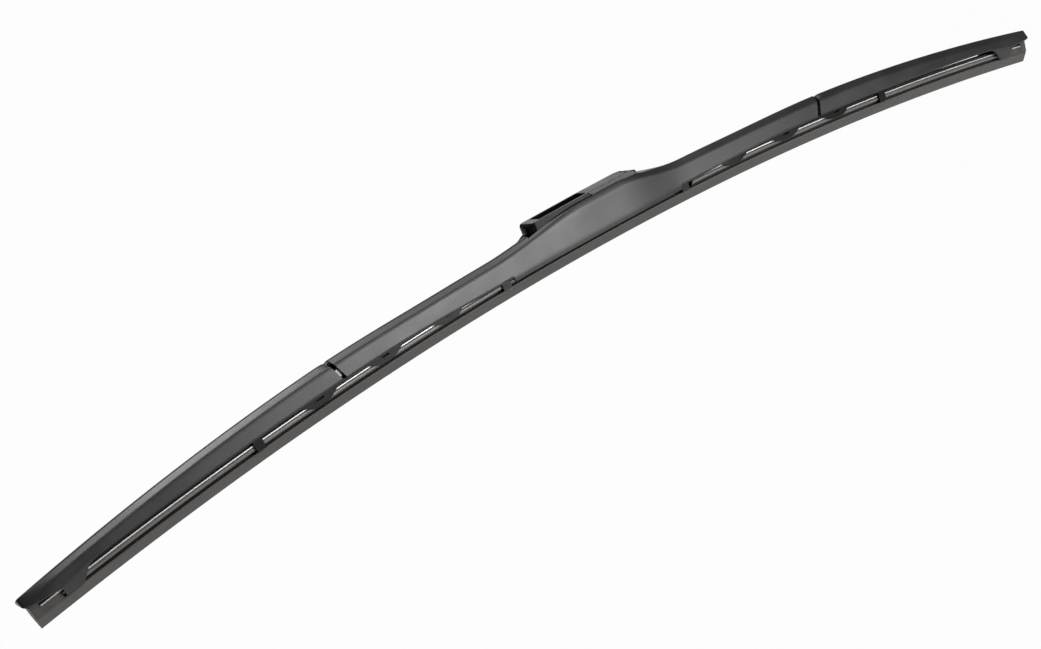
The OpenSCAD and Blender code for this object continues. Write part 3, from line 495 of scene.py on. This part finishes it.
def extruded(name, profile, s0, s1, side, material):
    """A closed profile of (y, n) points carried along the camber from s0 to s1, with flat ends."""
    stations = side * np.linspace(s0, s1, int(np.ceil((s1 - s0) / STATION)) + 1)[:, None]
    ring = np.concatenate([profile, profile[:1]])[None]
    points = on_camber(stations, ring[..., 1], ring[..., 0])
    rows, columns = points.shape[:2]
    number = np.arange(rows * columns).reshape(rows, columns)
    ends = [number[0, :-1].tolist(), number[-1, :-1].tolist()]
    return make_piece(name, points, grid_faces(rows, columns).tolist() + ends, material)


# The sections in (y, n): the wedge of the lip, the neck with the web and the bead above it, the
# flange, which bulges as an arc on each side, and one strip with its outer edge rounded.
lip = rounded_ring([[-0.35, 0], [-2.8, 4.0], [-3.3, 4.6], [-3.3, 5.5],
                    [3.3, 5.5], [3.3, 4.6], [2.8, 4.0], [0.35, 0]],
                   [0.1, 0.4, 0.3, 0.2, 0.2, 0.3, 0.4, 0.1], 4)
half_neck = np.array([[-0.9, 5.4], [-0.9, 7.2], [-1.1, 7.2], [-1.1, 10.1], [-2.6, 10.1],
                      [-2.6, 10.8]]) * 1e-3
neck = np.concatenate([half_neck, half_neck[::-1] * [-1, 1]])
turn = np.radians(np.linspace(-75, 72, 12))
half_flange = ([2.9, 8.05] + np.stack([1.2 * np.cos(turn), 1.15 * np.sin(turn)], -1)) * 1e-3
flange = np.concatenate([half_flange * [-1, 1], half_flange[::-1]])
strip = rounded_ring([[1.15, 9.15], [4.1, 9.15], [4.1, 10.05], [1.15, 10.05]],
                     [0.1, 0.3, 0.5, 0.1], 6)
for name, side in (("middle", 1), ("right", 1), ("left", -1)):
    for part, section, back, material, slot, replaced in (
            ("rubber", lip, 0.0, rubber, "rubber", "wiper_rubber"),
            ("flange", flange, FLANGE_BACK, flange_rubber, "rubber", None),
            ("neck", neck, NECK_BACK, neck_rubber_painted_shade, "rubber", None),
            ("strip_front", strip * [-1, 1], STRIP_BACK, strip_steel, "strip_steel", "front_strip"),
            ("strip_rear", strip, STRIP_BACK, strip_steel, "strip_steel", "rear_strip")):
        if name == "middle":
            half = CLAW_S - SEAM
            piece = extruded(part + "_middle", section, -half, half, side, material)
            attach(piece, "element")
        else:
            piece = extruded(part + "_" + name, section, CLAW_S, END_S - back, side, material)
            start, stop = (on_camber(side * s, BEND_N, 0.0) for s in (BEND_FROM, BEND_TO))
            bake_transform(piece)
        if replaced:
            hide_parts(replaced)


# The end clips: small grey mouldings of soft plastic, pushed into the ends of the element so that
# the strips can't slide out. They ride with the end claws.
clip_plastic = surface("clip_plastic", grey(0.045, 0.05), grey(0.060, 0.06), mottle=200.0,
                       rough=0.5, spread=0.08, grain=3000.0, depth=0.00001)
for side in ("left", "right"):
    clip = softened(side + "_end_clip", side + "_end_clip_moulding", 0.00015, clip_plastic,
                    side + "_arm")


# The studio: a white paper sweep well below and behind the blade, which glows only for the rays
# that the eye and mirrors see, two tall soft panels to its front right, two overhead, and a dim
# surround.
FLOOR_Z, FRONT_Y, BACK_Y, SWEEP_R, WALL_TOP, SWEEP_HALF = -1.1, -2.4, 1.6, 0.8, 2.1, 3.2
sweep_white = bpy.data.materials.new("sweep_white")
sweep_white.use_nodes = True
tree = sweep_white.node_tree
tree.nodes.clear()
page = Tone(tree)
paper = page.node("BsdfDiffuse", {}, {"Color": (0.82, 0.82, 0.82, 1)})
glow = page.node("Emission", {}, {"Color": (1, 1, 1, 1), "Strength": 1.0})
seen, mirrored, through = (page.node("LightPath", {}, {}, "Is " + kind + " Ray")
                           for kind in ("Camera", "Glossy", "Transmission"))
mixed = page.node("MixShader", {}, {0: seen.either(mirrored).either(through) * 0.97,
                                    1: paper, 2: glow})
tree.links.new(mixed.socket, tree.nodes.new("ShaderNodeOutputMaterial").inputs["Surface"])
turn = np.linspace(0, np.pi / 2, 25)
bend = np.stack([BACK_Y + SWEEP_R * np.sin(turn), SWEEP_R - SWEEP_R * np.cos(turn)], -1)
profile = np.concatenate([[[FRONT_Y, 0]], bend, [[BACK_Y + SWEEP_R, WALL_TOP]]])
across = np.array([-SWEEP_HALF, 0, SWEEP_HALF])
x, y = np.meshgrid(across, profile[:, 0])
points = np.stack([x, y, np.meshgrid(across, profile[:, 1] + FLOOR_Z)[1]], -1)
mesh = bpy.data.meshes.new("sweep")
mesh.from_pydata(points.reshape(-1, 3).tolist(), [], grid_faces(len(profile), 3).tolist())
mesh.shade_smooth()
mesh.materials.append(sweep_white)
sweep = bpy.data.objects.new("sweep", mesh)
bpy.context.scene.collection.objects.link(sweep)


def panel(name, place, aim, width, height, power):
    """A rectangular soft light at place that faces aim."""
    lamp = bpy.data.lights.new(name, "AREA")
    lamp.shape, lamp.size, lamp.size_y, lamp.energy = "RECTANGLE", width, height, power
    made = bpy.data.objects.new(name, lamp)
    made.location = place
    made.rotation_euler = (Vector(aim) - Vector(place)).to_track_quat("-Z", "Y").to_euler()
    bpy.context.scene.collection.objects.link(made)


panel("front_panel", (0.82, -1.75, 0.0), (0, 0, 0), width=0.66, height=0.9, power=20)
panel("upper_panel", (0.70, -1.50, 1.0), (0, 0, 0), width=1.1, height=0.9, power=10)
panel("top_panel", (-0.02, -0.25, 1.7), (0, 0, 0), width=0.6, height=0.6, power=15)
panel("high_panel", (0.78, -0.25, 1.7), (0.2, 0, 0), width=0.95, height=0.5, power=4.2)
surround = bpy.data.worlds.new("surround")
surround.use_nodes = True
bpy.context.scene.world = surround
background = surround.node_tree.nodes["Background"]
background.inputs["Color"].default_value = (1, 1, 1, 1)
seen = Tone(surround.node_tree).node("LightPath", {}, {}, "Is Camera Ray")
surround.node_tree.links.new((seen * 0.90 + 0.10).socket, background.inputs["Strength"])

# The camera stands to the front left and a little above, turned so that the blade rises to the
# right as in the photograph. Its three axes come from the yaw, the pitch and the roll in radians.
PLACE, YAW, PITCH, ROLL, LENS = (-0.4460, -0.7136, 0.1803), 0.4986, 0.26025, -0.378, 59.46
camera = bpy.data.objects.new("camera", bpy.data.cameras.new("camera"))
camera.data.lens, camera.data.sensor_width, camera.data.clip_start = LENS, 36.0, 0.01
level = np.array([np.cos(YAW), -np.sin(YAW), 0])
ahead = np.array([np.sin(YAW) * np.cos(PITCH), np.cos(YAW) * np.cos(PITCH), -np.sin(PITCH)])
above = np.cross(level, ahead)
right = np.cos(ROLL) * level + np.sin(ROLL) * above
up = np.cos(ROLL) * above - np.sin(ROLL) * level
turned = np.column_stack([right, up, -ahead, PLACE])
camera.matrix_world = Matrix([*turned.tolist(), (0, 0, 0, 1)])
bpy.context.scene.collection.objects.link(camera)
bpy.context.scene.camera = camera
bpy.context.scene.view_settings.view_transform = "Standard"

bpy.context.view_layer.update()
